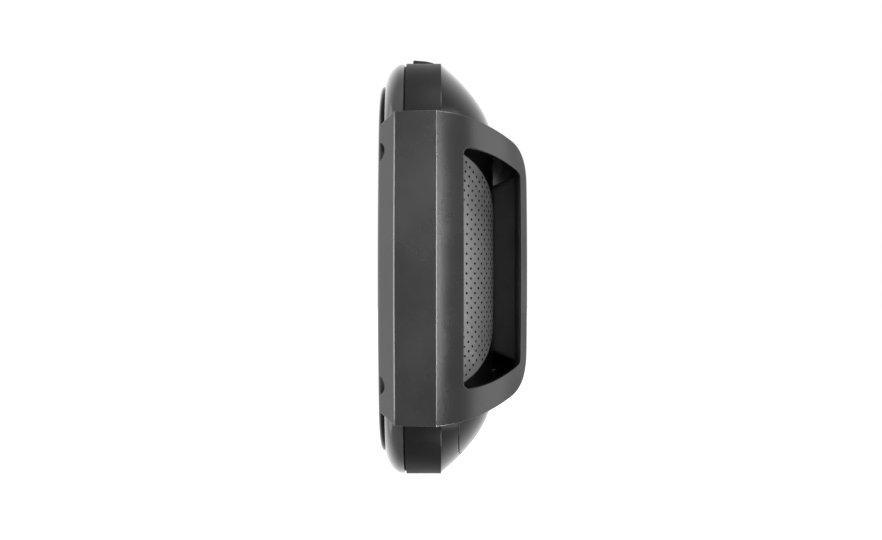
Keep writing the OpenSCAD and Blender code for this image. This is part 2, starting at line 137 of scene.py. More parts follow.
def soften(corners, steps=4):
    """A closed loop through (a, b, radius) corners, each rounded off by its radius."""
    loop = []
    for i, (a, b, r) in enumerate(corners):
        here = Vector((a, b))
        back = Vector(corners[i - 1][:2]) - here
        ahead = Vector(corners[(i + 1) % len(corners)][:2]) - here
        half = back.angle(ahead) / 2
        if r == 0 or half > 1.5:
            loop.append(here)
            continue
        run = min(r / math.tan(half), back.length * 0.45, ahead.length * 0.45)
        first = here + back.normalized() * run
        last = here + ahead.normalized() * run
        for k in range(steps + 1):
            t = k / steps
            loop.append(first * (1 - t) ** 2 + here * 2 * t * (1 - t) + last * t**2)
    return loop


def box_loop(x0, x1, y0, y1, r, steps=4):
    """A rectangle with rounded corners."""
    return soften([(x0, y0, r), (x1, y0, r), (x1, y1, r), (x0, y1, r)], steps)


def area(loop):
    return sum(p.x * q.y - q.x * p.y for p, q in zip(loop, loop[1:] + loop[:1])) / 2


def turned(loop, left):
    """The loop run anticlockwise if left is true, and clockwise if not."""
    return loop if (area(loop) > 0) == left else loop[::-1]


def offset(loop, distance):
    """A closed loop moved towards its left side."""
    moved = []
    for i, p in enumerate(loop):
        a = (p - loop[i - 1]).normalized()
        b = (loop[(i + 1) % len(loop)] - p).normalized()
        side = Vector((-(a + b).y, (a + b).x)).normalized()
        moved.append(p + side * (distance / max(0.5, side.dot(Vector((-b.y, b.x))))))
    return moved


def mirrored(edge):
    """The points of an upper edge in the lower half, in the order that closes the loop."""
    return [Vector((p.x, -p.y)) for p in reversed(edge)]


def contains(loop, p):
    inside = False
    for a, b in zip(loop, loop[1:] + loop[:1]):
        if (a.y > p.y) != (b.y > p.y) and p.x < a.x + (p.y - a.y) * (b.x - a.x) / (b.y - a.y):
            inside = not inside
    return inside


def ring_stations(side_steps=22, corner_steps=20):
    """Stations round the unit's outline, each (centre x, centre y, radius, direction)."""
    quarter = [(side_cx, 0, SIDE_R, bow * i / side_steps) for i in range(side_steps)]
    quarter += [(corner_cx, corner_cy, CORNER_R, bow + (math.pi / 2 - bow) * i / corner_steps)
                for i in range(corner_steps + 1)]

    def quadrant(sx, sy, part):
        return [(sx * cx, sy * cy, r, Vector((sx * math.cos(a), sy * math.sin(a))))
                for cx, cy, r, a in part]

    return (quadrant(1, 1, quarter) + quadrant(-1, 1, quarter[::-1])
            + quadrant(-1, -1, quarter[1:]) + quadrant(1, -1, quarter[:0:-1]))


STATIONS = ring_stations()


def ring(inset):
    return [Vector((cx, cy)) + d * (r - inset) for cx, cy, r, d in STATIONS]


def inset_of(p):
    """How far a point lies inside the unit's outline, and the direction outward."""
    q = Vector((abs(p.x), abs(p.y)))
    sx, sy = math.copysign(1, p.x), math.copysign(1, p.y)
    from_side = q - Vector((side_cx, 0))
    from_corner = q - Vector((corner_cx, corner_cy))
    side = SIDE_R - from_side.length
    top = half_h - q.y
    if math.atan2(from_side.y, from_side.x) > bow and q.x >= corner_cx:
        inset, d = CORNER_R - from_corner.length, from_corner.normalized()
    elif q.x < corner_cx and top < side:
        inset, d = top, Vector((0, 1))
    else:
        inset, d = side, from_side.normalized()
    return inset, Vector((d.x * sx, d.y * sy))


def edge_x(inset, y):
    """Where the outline drawn in by an inset lies at a height, on the +x side."""
    y = abs(y)
    on_side = (SIDE_R - inset) * math.sin(bow)
    if y <= on_side:
        return side_cx + math.sqrt((SIDE_R - inset) ** 2 - y**2)
    return corner_cx + math.sqrt(max(0, (CORNER_R - inset) ** 2 - (y - corner_cy) ** 2))


# ------------------------------------------------------------------ surfaces

def dome_at(inset):
    left = max(0, 1 - (inset - DOME_START) / DOME_RUN)
    return crease_w - dome_depth * (1 - left**DOME_POWER)


def dome_slope(inset):
    left = max(0, 1 - (inset - DOME_START) / DOME_RUN)
    return dome_depth * DOME_POWER * left ** (DOME_POWER - 1) / DOME_RUN


def dome_lift(p, depth):
    """A point on the rear dome, at a depth under its outer face."""
    inset, outward = inset_of(p)
    slope = dome_slope(inset)
    size = math.hypot(1, slope)
    q = p - outward * (depth * slope / size)
    return place(q.x, q.y, dome_at(inset) + depth / size)


def cradle_at(w):
    """How far the cradle's outer face stands outside the unit's outline, at a depth."""
    return cradle_out - CRADLE_TAPER * (max(0, joint_w - w) / joint_w) ** TAPER_POWER


def arm_lift(sign):
    """Maps (w, y) on the side view to the cradle's arm at x > 0 or x < 0."""
    def lift(p, depth):
        back = joint_w - p.x
        crisp = 0.19 * back * math.exp(-back / 2.5)
        r = SIDE_R + cradle_at(p.x) - crisp - depth
        return place(sign * (side_cx + math.sqrt(r * r - p.y**2)), p.y, p.x)
    return lift


# ------------------------------------------------------------------ mesh making

SHARP = math.radians(32)


def linked(name, data):
    """A new object in the scene."""
    thing = bpy.data.objects.new(name, data)
    bpy.context.scene.collection.objects.link(thing)
    return thing


def closed_mesh(name, verts, faces, look_of=None, smooth=True):
    """A mesh with its faces turned outward. look_of gives the place of a face's look."""
    bm = bmesh.new()
    made = [bm.verts.new(v) for v in verts]
    for k, f in enumerate(faces):
        face = bm.faces.new([made[i] for i in f])
        face.smooth = smooth
        face.material_index = look_of(k) if look_of else 0
    bmesh.ops.recalc_face_normals(bm, faces=bm.faces)
    mesh = bpy.data.meshes.new(name)
    bm.to_mesh(mesh)
    bm.free()
    return mesh


def make(name, verts, faces, looks, body=CRADLE, slot=None, nodes=(), normals=None, look_of=None):
    """A closed mesh piece. normals gives the true normal of some vertices on the outer face."""
    mesh = closed_mesh(name, verts, faces, look_of)
    for look in looks:
        mesh.materials.append(look)
    mesh.set_sharp_from_angle(angle=SHARP)
    if normals:
        split = [Vector()] * len(mesh.loops)
        for poly in mesh.polygons:
            if all(v in normals for v in poly.vertices):
                for k in poly.loop_indices:
                    n = normals[mesh.loops[k].vertex_index]
                    split[k] = n if n.dot(poly.normal) > 0 else -n
        mesh.normals_split_custom_set(split)
    piece = linked(name, mesh)
    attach(piece, body)
    if nodes:
        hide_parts(*nodes)
    return piece


def modify(piece, kind, **settings):
    """Adds a modifier and applies it."""
    mod = piece.modifiers.new(kind.lower(), kind)
    for key, value in settings.items():
        setattr(mod, key, value)
    with bpy.context.temp_override(object=piece, active_object=piece):
        bpy.ops.object.modifier_apply(modifier=mod.name)


def even_shading(piece, angle):
    """Sharp edges past an angle, and flat faces that look flat up to their rounded edges."""
    piece.data.set_sharp_from_angle(angle=math.radians(angle))
    modify(piece, "WEIGHTED_NORMAL", keep_sharp=True)


def cut(piece, cutters):
    for cutter in cutters:
        modify(piece, "BOOLEAN", operation="DIFFERENCE", solver="EXACT", object=cutter)
        bpy.data.objects.remove(cutter)


def cutter(verts, faces):
    return linked("cutter", closed_mesh("cutter", verts, faces, smooth=False))


def bridge(a, b, n):
    """Quads between two loops of n vertices that start at a and b."""
    return [(a + i, a + (i + 1) % n, b + (i + 1) % n, b + i) for i in range(n)]


def stack(loops, lift):
    """Verts and faces of a solid through a list of (2D loop, third value), capped at both ends."""
    n = len(loops[0][0])
    verts = [lift(p, t) for loop, t in loops for p in loop]
    faces = [f for k in range(len(loops) - 1) for f in bridge(k * n, (k + 1) * n, n)]
    faces.append(tuple(range(n - 1, -1, -1)))
    faces.append(tuple(range((len(loops) - 1) * n, len(loops) * n)))
    return verts, faces


def along_w(p, w):
    return place(p.x, p.y, w)


def along_x(p, x):
    """For loops of (w, y) points."""
    return place(x, p.y, p.x)


def rod_cutter(x, y, from_w, to_w, r, steps=40):
    circle = arc(x, y, r, 0, 360 - 360 / steps, steps - 1)
    return cutter(*stack([(circle, from_w), (circle, to_w)], along_w))


def slab_cutter(half, y0, y1, from_w, to_w):
    """A box-shaped cutter centred on x = 0."""
    loop = box_loop(-half, half, y0, y1, 0)
    return cutter(*stack([(loop, from_w), (loop, to_w)], along_w))


def rounded_stack(loop, low, high, r, steps=3):
    """Loops for a slab whose top and bottom edges are rounded by r."""
    loop = turned(loop, True)
    turns = [math.pi / 2 * k / steps for k in range(steps + 1)]
    up = [(offset(loop, r * (1 - math.sin(a))), low + r * (1 - math.cos(a))) for a in turns]
    down = [(offset(loop, r * (1 - math.sin(a))), high - r * (1 - math.cos(a))) for a in turns[::-1]]
    return up + down


def frame_loft(profile, name, looks, **rest):
    """A ring-shaped solid: a closed profile of (inset, w) points swept round the outline."""
    n = len(STATIONS)
    verts = []
    for inset, w in profile:
        verts += [place(p.x, p.y, w) for p in ring(inset)]
    rings = len(profile)
    faces = [f for k in range(rings) for f in bridge(k * n, (k + 1) % rings * n, n)]
    return make(name, verts, faces, looks, **rest)


def sheet(loops, lift, thick, grid, edge=0.15, steps=3):
    """A curved sheet with rounded edges: its verts, faces and the true normals of its outer face.

    loops[0] is its outline and the others are holes, all in the flat coordinates that lift(p, depth)
    maps to space. grid holds extra points inside it.
    """
    loops = [turned(list(loop), k == 0) for k, loop in enumerate(loops)]
    inner = [offset(loop, edge) for loop in loops]
    fixed = [p for loop in inner for p in loop]
    edges, starts, start = [], [], 0
    for loop in inner:
        n = len(loop)
        starts.append(start)
        edges += [(start + i, start + (i + 1) % n) for i in range(n)]
        start += n
    flat, _, tris, origin, _, _ = delaunay_2d_cdt(fixed + grid, edges, [], 0, 1e-5)
    at = {k: i for i, ids in enumerate(origin) for k in ids}
    outline, holes = inner[0], inner[1:]
    spans = [(min(p.x for p in h), max(p.x for p in h), min(p.y for p in h), max(p.y for p in h), h)
             for h in holes]

    def kept(tri):
        c = (flat[tri[0]] + flat[tri[1]] + flat[tri[2]]) / 3
        if not contains(outline, c):
            return False
        return not any(a < c.x < b and d < c.y < e and contains(h, c) for a, b, d, e, h in spans)

    tris = [t for t in tris if kept(t)]
    used = sorted({i for t in tris for i in t})
    index = {old: new for new, old in enumerate(used)}
    n = len(used)
    verts = [lift(flat[i], 0) for i in used] + [lift(flat[i], thick) for i in used]
    faces = [tuple(index[i] for i in t) for t in tris]
    faces += [tuple(n + index[i] for i in reversed(t)) for t in tris]

    tiny = 0.01
    normals = {}
    for new, old in enumerate(used):
        p = flat[old]
        da = lift(p + Vector((tiny, 0)), 0) - lift(p - Vector((tiny, 0)), 0)
        db = lift(p + Vector((0, tiny)), 0) - lift(p - Vector((0, tiny)), 0)
        normals[new] = da.cross(db).normalized()

    turns = [math.pi / 2 * k / steps for k in range(1, steps + 1)]
    levels = [(edge * (1 - math.sin(a)), edge * (1 - math.cos(a))) for a in turns]
    levels.append((0, thick - edge * 0.6))
    for loop, start in zip(loops, starts):
        size = len(loop)
        last = [index[at[start + i]] for i in range(size)]
        back = [n + i for i in last]
        for inward, depth in levels:
            here = list(range(len(verts), len(verts) + size))
            verts += [lift(p, depth) for p in offset(loop, inward)]
            faces += [(last[i], last[(i + 1) % size], here[(i + 1) % size], here[i]) for i in range(size)]
            last = here
        faces += [(last[i], last[(i + 1) % size], back[(i + 1) % size], back[i]) for i in range(size)]
    return verts, faces, normals


def gap_to(loop, p):
    """Distance from a point to the nearest side of a loop."""
    least = 1e9
    for a, b in zip(loop, loop[1:] + loop[:1]):
        side = b - a
        t = min(1, max(0, (p - a).dot(side) / side.length_squared))
        least = min(least, (a + side * t - p).length_squared)
    return math.sqrt(least)


def inside_points(points, loops, margin):
    """The points inside a sheet's outline and outside its holes, clear of both by a margin."""
    kept = []
    for p in points:
        if not contains(loops[0], p) or any(contains(h, p) for h in loops[1:]):
            continue
        if all(gap_to(loop, p) > margin for loop in loops):
            kept.append(p)
    return kept


# ------------------------------------------------------------------ materials

def node_tools(name):
    """A new look, its shader, and functions that add a node and that link nodes to the shader."""
    look = bpy.data.materials.new(name)
    look.use_nodes = True
    tree = look.node_tree
    shader = tree.nodes["Principled BSDF"]

    def node(kind, links=(), **values):
        n = tree.nodes.new(kind)
        for key, value in values.items():
            if key.startswith("in_"):
                socket = key[3:]
                place_in = int(socket) if socket.isdigit() else socket.replace("_", " ")
                n.inputs[place_in].default_value = value
            else:
                setattr(n, key, value)
        for socket, source in dict(links).items():
            tree.links.new(source, n.inputs[socket])
        return n

    def feed(**sources):
        for socket, source in sources.items():
            tree.links.new(source, shader.inputs[socket.replace("_", " ")])

    return look, shader, node, feed


def shade(name, colour, rough, metal=0.0, mottle=0.12, mottle_scale=90, rough_spread=0.06, grain=2600,
          bump=0.15, bump_depth=0.02, stretch=(1, 1, 1), wear=None, wear_from=0.52, ior=1.5, coat=0.0,
          coat_rough=0.1, speck=0.0):
    """A procedural surface: mottled colour, varied roughness, fine grain and worn edges.

    Scales are per metre, and bump_depth is the grain's height in millimetres.
    """
    look, shader, node, feed = node_tools(name)
    coords = node("ShaderNodeTexCoord").outputs["Object"]
    moved = node("ShaderNodeMapping", {"Vector": coords}, in_Scale=stretch).outputs["Vector"]
    cloud = node("ShaderNodeTexNoise", {"Vector": moved}, in_Scale=mottle_scale, in_Detail=4.0)
    fine = node("ShaderNodeTexNoise", {"Vector": moved}, in_Scale=grain, in_Detail=3.0, in_Roughness=0.6)
    dark = [c * (1 - mottle) for c in colour]
    light = [min(1, c * (1 + mottle)) for c in colour]
    tone = node("ShaderNodeValToRGB", {"Fac": cloud.outputs["Fac"]})
    tone.color_ramp.elements[0].position = 0.3
    tone.color_ramp.elements[1].position = 0.7
    tone.color_ramp.elements[0].color = (*dark, 1)
    tone.color_ramp.elements[1].color = (*light, 1)
    out = tone.outputs["Color"]

    def blended(under, share, over):
        return node("ShaderNodeMix", {0: share.outputs[0], 6: under}, data_type="RGBA",
                    in_7=(*over, 1)).outputs[2]

    if speck:
        dots = node("ShaderNodeMapRange", {"Value": fine.outputs["Fac"]},
                    in_1=0.5, in_2=0.75, in_3=0.0, in_4=1.0)
        out = blended(out, dots, [min(1, c * (1 + speck)) for c in colour])
    if wear:
        point = node("ShaderNodeNewGeometry").outputs["Pointiness"]
        rubbed = node("ShaderNodeMapRange", {"Value": point}, in_1=wear_from, in_2=wear_from + 0.06,
                      in_3=0.0, in_4=0.8)
        broken = node("ShaderNodeMath", {0: rubbed.outputs[0], 1: cloud.outputs["Fac"]},
                      operation="MULTIPLY")
        out = blended(out, broken, wear)
    varied = node("ShaderNodeMapRange", {"Value": cloud.outputs["Fac"]}, in_1=0.3, in_2=0.7,
                  in_3=max(0.02, rough - rough_spread), in_4=min(1, rough + rough_spread))
    relief = node("ShaderNodeBump", {"Height": fine.outputs["Fac"]}, in_Strength=bump,
                  in_Distance=bump_depth * MM)
    feed(Base_Color=out, Roughness=varied.outputs[0], Normal=relief.outputs["Normal"])
    shader.inputs["Metallic"].default_value = metal
    shader.inputs["IOR"].default_value = ior
    shader.inputs["Coat Weight"].default_value = coat
    shader.inputs["Coat Roughness"].default_value = coat_rough
    return look


def board_look():
    """Green solder mask over copper tracks."""
    look, _, node, feed = node_tools("solder_mask")
    coords = node("ShaderNodeTexCoord").outputs["Object"]
    tracks = node("ShaderNodeTexBrick", {"Vector": coords}, in_Scale=220.0, in_Mortar_Size=0.03,
                  in_Color1=(0.012, 0.13, 0.06, 1), in_Color2=(0.02, 0.17, 0.08, 1),
                  in_Mortar=(0.03, 0.26, 0.12, 1))
    cloud = node("ShaderNodeTexNoise", {"Vector": coords}, in_Scale=300.0)
    rough = node("ShaderNodeMapRange", {"Value": cloud.outputs["Fac"]}, in_3=0.3, in_4=0.5)
    relief = node("ShaderNodeBump", {"Height": tracks.outputs["Fac"]}, in_Strength=0.4,
                  in_Distance=0.03 * MM)
    feed(Base_Color=tracks.outputs["Color"], Roughness=rough.outputs[0], Normal=relief.outputs["Normal"])
    return look


def glass_look():
    """Black-backed glass. The display's lit area is a shade lighter than the printed border."""
    look, shader, node, feed = node_tools("cover_glass")
    frame_width = 2
    lit_x, lit_y = [span[1] - frame_width for span in reach("display_module")[:2]]
    coords = node("ShaderNodeTexCoord").outputs["Object"]
    parts = node("ShaderNodeSeparateXYZ", {"Vector": coords})

    def beyond(axis, half):
        size = node("ShaderNodeMath", {0: parts.outputs[axis]}, operation="ABSOLUTE")
        return node("ShaderNodeMapRange", {"Value": size.outputs[0]}, in_1=(half - 0.15) * MM,
                    in_2=(half + 0.15) * MM, in_3=0.0, in_4=1.0).outputs[0]

    border = node("ShaderNodeMath", {0: beyond("X", lit_x), 1: beyond("Z", lit_y)}, operation="MAXIMUM")
    tone = node("ShaderNodeMix", {0: border.outputs[0]}, data_type="RGBA",
                in_6=(0.011, 0.012, 0.015, 1), in_7=(0.004, 0.004, 0.005, 1))
    smear = node("ShaderNodeTexNoise", {"Vector": coords}, in_Scale=35.0, in_Detail=5.0)
    rough = node("ShaderNodeMapRange", {"Value": smear.outputs["Fac"]}, in_1=0.35, in_2=0.75,
                 in_3=0.03, in_4=0.11)
    ripple = node("ShaderNodeBump", {"Height": smear.outputs["Fac"]}, in_Strength=0.02,
                  in_Distance=0.05 * MM)
    feed(Base_Color=tone.outputs[2], Roughness=rough.outputs[0], Normal=ripple.outputs["Normal"])
    shader.inputs["IOR"].default_value = 1.52
    return look


CRADLE_LOOK = shade("cradle_metal", (0.122, 0.122, 0.124), 0.26, metal=0.9, mottle=0.04, grain=4200,
                    bump=0.2, bump_depth=0.012, wear=(0.3, 0.3, 0.3), wear_from=0.6, speck=0.1)
# Lighter metal for the clamps' cut edges, which also stands in as a painted highlight along them.
CUT_EDGE_AND_HIGHLIGHT_LOOK = shade("cut_edge_and_painted_highlight", (0.38, 0.38, 0.384), 0.28, metal=1.0, mottle=0.06, grain=3000,
                    stretch=(1, 1, 0.1), bump=0.1, bump_depth=0.01)
BAND_LOOK = shade("band_plastic", (0.01, 0.01, 0.01), 0.5, ior=1.33, mottle=0.1, grain=4600, bump=0.6,
                  bump_depth=0.02, wear=(0.05, 0.05, 0.05), speck=0.8)
DOME_LOOK = shade("dome_gloss", (0.007, 0.007, 0.0075), 0.17, mottle=0.06, grain=3500, bump=0.05,
                  bump_depth=0.01, rough_spread=0.03, coat=0.3)
BEZEL_LOOK = shade("bezel_gloss", (0.06, 0.06, 0.061), 0.14, ior=1.8, mottle=0.06, grain=3500, bump=0.04,
                   bump_depth=0.01, rough_spread=0.03, coat=0.5)
GRILLE_LOOK = shade("grille_metal", (0.4, 0.4, 0.403), 0.45, metal=0.3, mottle=0.05, grain=5000,
                    bump=0.3, bump_depth=0.01, wear=(0.6, 0.6, 0.6))
# Near-black cloth behind the grilles; also laid on the grilles' hole walls as painted shade inside the
# holes.
CLOTH_AND_HOLE_SHADE_LOOK = shade("speaker_cloth_and_painted_hole_shade", (0.006, 0.006, 0.006), 0.95, mottle=0.3, grain=3000, bump=0.8,
                   bump_depth=0.05)
# Dull dark look for the tub's inside faces: painted shade in the recess behind the unit.
TUB_INSIDE_SHADE_LOOK = shade("tub_inside_painted_shade", (0.14, 0.14, 0.142), 0.6, mottle=0.15, grain=3600, bump=0.5)
DOCK_LOOK = shade("dock_plastic", (0.3, 0.3, 0.304), 0.55, mottle=0.1, grain=3800, bump=0.5,
                  bump_depth=0.02, wear=(0.06, 0.06, 0.06), speck=0.4)
KEY_LOOK = shade("key_plastic", (0.009, 0.009, 0.01), 0.42, mottle=0.15, grain=4200, bump=0.3,
                 bump_depth=0.015, wear=(0.03, 0.03, 0.03))
STEEL_LOOK = shade("screw_steel", (0.36, 0.36, 0.37), 0.3, metal=1.0, mottle=0.12, grain=3000,
                   mottle_scale=500, bump=0.2, wear=(0.6, 0.6, 0.6))
BRASS_LOOK = shade("brass", (0.62, 0.44, 0.18), 0.3, metal=1.0, mottle=0.1, grain=2600)
GOLD_LOOK = shade("gold_plate", (0.78, 0.56, 0.2), 0.22, metal=1.0, mottle=0.08, grain=2600)
RUBBER_LOOK = shade("rubber", (0.012, 0.012, 0.012), 0.75, mottle=0.2, grain=2400, bump=0.4)
FRAME_LOOK = shade("stamped_steel", (0.48, 0.49, 0.5), 0.34, metal=1.0, mottle=0.08, grain=1800,
                   stretch=(0.15, 1, 1), bump=0.25)
TIN_LOOK = shade("tinned_steel", (0.55, 0.55, 0.56), 0.28, metal=1.0, mottle=0.15, mottle_scale=260)
CAST_LOOK = shade("cast_metal", (0.5, 0.5, 0.51), 0.5, metal=1.0, mottle=0.12, grain=1500, bump=0.6,
                  bump_depth=0.06)
CHIP_LOOK = shade("chip_epoxy", (0.02, 0.02, 0.021), 0.6, mottle=0.15, grain=3200, bump=0.4)
CONE_LOOK = shade("speaker_cone", (0.02, 0.02, 0.022), 0.7, mottle=0.2, grain=1600, bump=0.7,
                  bump_depth=0.06)
FOIL_LOOK = shade("battery_foil", (0.16, 0.19, 0.23), 0.35, metal=0.4, mottle=0.15, grain=900, bump=0.4,
                  bump_depth=0.08)
LENS_LOOK = shade("infrared_lens", (0.1, 0.008, 0.012), 0.06, mottle=0.1, bump=0.02, coat=0.5)
CERAMIC_LOOK = shade("ceramic", (0.52, 0.42, 0.3), 0.55, mottle=0.12, grain=2200, bump=0.3)
SWITCH_LOOK = shade("switch_plastic", (0.5, 0.5, 0.5), 0.45, mottle=0.08, grain=2600)
SCREEN_LOOK = shade("display_panel", (0.01, 0.011, 0.014), 0.2, mottle=0.1)
BOARD_LOOK = board_look()
GLASS_LOOK = glass_look()

CARRIED = {
    "clamp_screws": STEEL_LOOK, "clamp_inserts": BRASS_LOOK, "clamp_pads": RUBBER_LOOK,
    "dock_board": BOARD_LOOK, "dock_pins": GOLD_LOOK, "dock_screws": STEEL_LOOK,
    "power_inlet": CHIP_LOOK, "display_module": SCREEN_LOOK, "seam_gasket": RUBBER_LOOK,
    "right_speaker": CONE_LOOK, "left_speaker": CONE_LOOK, "contact_pads": GOLD_LOOK,
    "case_screws": STEEL_LOOK, "chassis_plate": FRAME_LOOK, "main_board": BOARD_LOOK,
    "board_spacers": STEEL_LOOK, "board_chips": CHIP_LOOK, "shield_can": TIN_LOOK,
    "usb_port": TIN_LOOK, "card_slot": TIN_LOOK, "battery": FOIL_LOOK, "receiver_board": BOARD_LOOK,
    "radar_horn": CAST_LOOK, "laser_sensor": CHIP_LOOK, "laser_lens": LENS_LOOK,
    "gps_antenna": CERAMIC_LOOK, "key_board": BOARD_LOOK, "key_switches": SWITCH_LOOK,
    "rocker_pin": STEEL_LOOK,
}
for carried, its_look in CARRIED.items():
    node_mesh = frame["nodes"][carried].data
    node_mesh.materials.clear()
    node_mesh.materials.append(its_look)


# ------------------------------------------------------------------ front of the unit

def cover_glass():
    edge = [(GLASS_INSET + 2.2 * (1 - math.cos(a)), front_w - 0.95 * (1 - math.sin(a)))
            for a in [math.pi / 2 * k / 10 for k in range(11)]]
    profile = [(GLASS_INSET + 0.08, glass_w), (GLASS_INSET, glass_w + 0.08)] + edge
    loops = [(ring(inset), w) for inset, w in profile]
    verts, faces = stack(loops, along_w)
    return make("glass_panel", verts, faces, [GLASS_LOOK], slot="glass", nodes=["cover_glass"])


def bezel_curve(shift=0.0, steps=18):
    """The bezel's rounded shoulder as (inset, w) points, moved outward by a shift."""
    turns = [math.pi / 2 * k / steps for k in range(steps + 1)]
    return [(0.2 - shift + BEZEL_RUN * (1 - math.cos(a) ** BEZEL_POWER),
             bezel_edge_w + (glass_w - bezel_edge_w) * math.sin(a) ** BEZEL_POWER) for a in turns]


def front_bezel():
    profile = [(2.4, bezel_rear_w), (0.32, bezel_rear_w), (0.2, bezel_rear_w + 0.12)]
    profile += bezel_curve() + [(9.2, glass_w), (9.2, glass_w - 1.8), (2.4, glass_w - 1.8)]
    return frame_loft(profile, "bezel_shell", [BEZEL_LOOK], slot="bezel_gloss", nodes=["front_bezel"])


# ------------------------------------------------------------------ band and keys

KEYS = {
    "power_key": "power_key_cap",
    "mute_key": "mute_key_cap",
    "volume_rocker": "volume_rocker_cap",
}
KEY_GAP = 0.2
BAND_T = 2.2


def key_slot(node):
    (x0, x1), _, (w0, w1) = reach(node)
    if node != "volume_rocker":
        flange = 0.7
        x0, x1 = x0 + flange, x1 - flange
        w0, w1 = w0 + 0.5, w1 - 0.5
    return x0, x1, w0, w1


def mid_band():
    corners = [(EDGE, crease_w, 0.04), (EDGE, band_front_w, 0.14), (BAND_T, band_front_w, 0),
               (BAND_T, crease_w, 0)]
    profile = [(p.x, p.y) for p in soften(corners, 3)]
    band = frame_loft(profile, "band_shell", [BAND_LOOK], slot="band_matte", nodes=["mid_band"])
    tools = []
    for node in KEYS:
        x0, x1, w0, w1 = key_slot(node)
        loop = box_loop(x0 - KEY_GAP, x1 + KEY_GAP, -w1 - KEY_GAP, KEY_GAP - w0, 0.7, 5)
        low, high = half_h - 6, half_h + 3
        tools.append(cutter(*stack([(loop, low), (loop, high)], lambda p, y: place(p.x, y, -p.y))))
    cut(band, tools)
    band.data.set_sharp_from_angle(angle=SHARP)


def key_cap(node):
    """A crowned key top with rounded edges, its flange and its foot."""
    x0, x1, w0, w1 = key_slot(node)
    _, (y0, top), _ = reach(node)
    wall = half_h - BAND_T
    rim = half_h
    crown = [(w0, wall - 0.45, 0), (w0, rim - 0.15, 0.25), (w0 + 0.9, rim + 0.5 * (top - rim), 0.6),
             (w0 + 2.4, rim + 0.8 * (top - rim), 0.8), (w1 - 0.2, top, 0.35), (w1, wall - 0.45, 0)]
    side = turned(soften(crown, 4), True)
    verts, faces = stack(rounded_stack(side, x0, x1, 0.3), along_x)

    def add(more_verts, more_faces):
        faces.extend(tuple(i + len(verts) for i in f) for f in more_faces)
        verts.extend(more_verts)

    def block(bx0, bx1, by0, by1, bw0, bw1):
        loop = box_loop(bw0, bw1, by0, by1, 0.1, 2)
        add(*stack(rounded_stack(loop, bx0, bx1, 0.1, 2), along_x))

    middle = (x0 + x1) / 2
    if node == "volume_rocker":
        # two wings that rest on the switches, and the knuckle on the pin
        for wing in (-1, 1):
            a, b = sorted((middle + wing * 2.7, middle + wing * 14.8))
            block(a, b, wall - 1.15, wall - 0.3, w0 + 0.05, w1 - 0.05)
            block(middle + wing * 9 - 1.5, middle + wing * 9 + 1.5, y0 + 1.2, wall - 0.9, w0 + 1.4, w0 + 4)
        block(middle - 1.4, middle + 1.4, y0 + 0.05, wall - 0.2, w0 + 1.45, w0 + 4.05)
    else:
        block(x0 - 0.65, x1 + 0.65, wall - 0.88, wall - 0.25, w0 - 0.45, w1 + 0.45)
        block(middle - 1.5, middle + 1.5, y0 + 0.02, wall - 0.6, w0 + 1.4, w0 + 4)
    return make(KEYS[node], verts, faces, [KEY_LOOK], body=node, slot="key_black", nodes=[node])


# ------------------------------------------------------------------ rear of the unit

SCREWS = [(43, 22), (-43, 22), (43, -22), (-43, -22)]
SCREW_HOLE_R = 2.4
DOOR_INSET = 3.6
DOOR_LOW = -40.4
DOOR_HIGH = -26
GRILLE_R = 28.6
GRILLE_INSET = 3.2
grille_cx = half_w + 8
PINS = [-12, -6, 0, 6, 12]


def door_loop(gap):
    """The service door's outline, with rounded lower corners."""
    steps = 14
    half_steps = 24
    low, high = DOOR_LOW + gap, DOOR_HIGH - gap
    ys = [low + (high - low) * k / steps for k in range(steps + 1)]
    side = [Vector((edge_x(DOOR_INSET + gap, y), y)) for y in ys]
    lower, upper = side[0], side[-1]
    r = 2.2
    bottom = [Vector((lower.x * k / half_steps, low)) for k in range(2 - half_steps, half_steps - 1)]
    away = (side[2] - lower).normalized()
    corner = [lower.lerp(lower - Vector((r, 0)), (1 - t) ** 2).lerp(lower + away * r, t**2)
              for t in [k / 5 for k in range(6)]]
    right = corner + side[3:-1] + [upper - Vector((0.15, 0.5)), upper - Vector((0.7, 0))]
    left = [Vector((-p.x, p.y)) for p in reversed(right)]
    top = [Vector((upper.x * k / half_steps, high)) for k in range(half_steps - 1, -half_steps, -1)]
    return [p for p in bottom if abs(p.x) < lower.x - r - 0.5] + right + top + left


def grille_loop(gap, sign):
    """The grille's outline: a circle about a point beyond the unit's side, and the side itself."""
    r, inset = GRILLE_R - gap, GRILLE_INSET + gap
    reach_r = SIDE_R - inset
    apart = grille_cx - side_cx
    along = (reach_r**2 - r**2 + apart**2) / (2 * apart)
    tip = math.sqrt(reach_r**2 - along**2)
    tip_x = side_cx + along
    start = math.degrees(math.atan2(tip, tip_x - grille_cx))
    inner = arc(grille_cx, 0, r, start, 360 - start, 44)
    far = math.degrees(math.atan2(tip, along))
    outer = arc(side_cx, 0, reach_r, -far, far, 26)
    keep = [p for p in inner if abs(p.y) < tip - 0.7]
    keep_outer = [p for p in outer if abs(p.y) < tip - 0.9]
    tips = [Vector((tip_x - 0.25, s * (tip - 0.35))) for s in (1, -1)]
    loop = [tips[0]] + keep + [tips[1]] + keep_outer
    return [Vector((sign * p.x, p.y)) for p in loop]


def dome_grid(step=1.5, run=4):
    """Rings of points over the dome, with points along their straight stretches too."""
    rows = int(DOME_RUN / step)
    spans = int(2 * corner_cx / run)
    straight = [corner_cx * (2 * k / spans - 1) for k in range(1, spans)]
    points = []
    for k in range(rows + 1):
        inset = DOME_START + 0.6 + (DOME_RUN - 0.6) * k / rows
        points += ring(inset)
        points += [Vector((x, y * (half_h - inset))) for y in (-1, 1) for x in straight]
    return points


def circle_loop(x, y, r, steps=28):
    return arc(x, y, r, 0, 360 - 360 / steps, steps - 1)


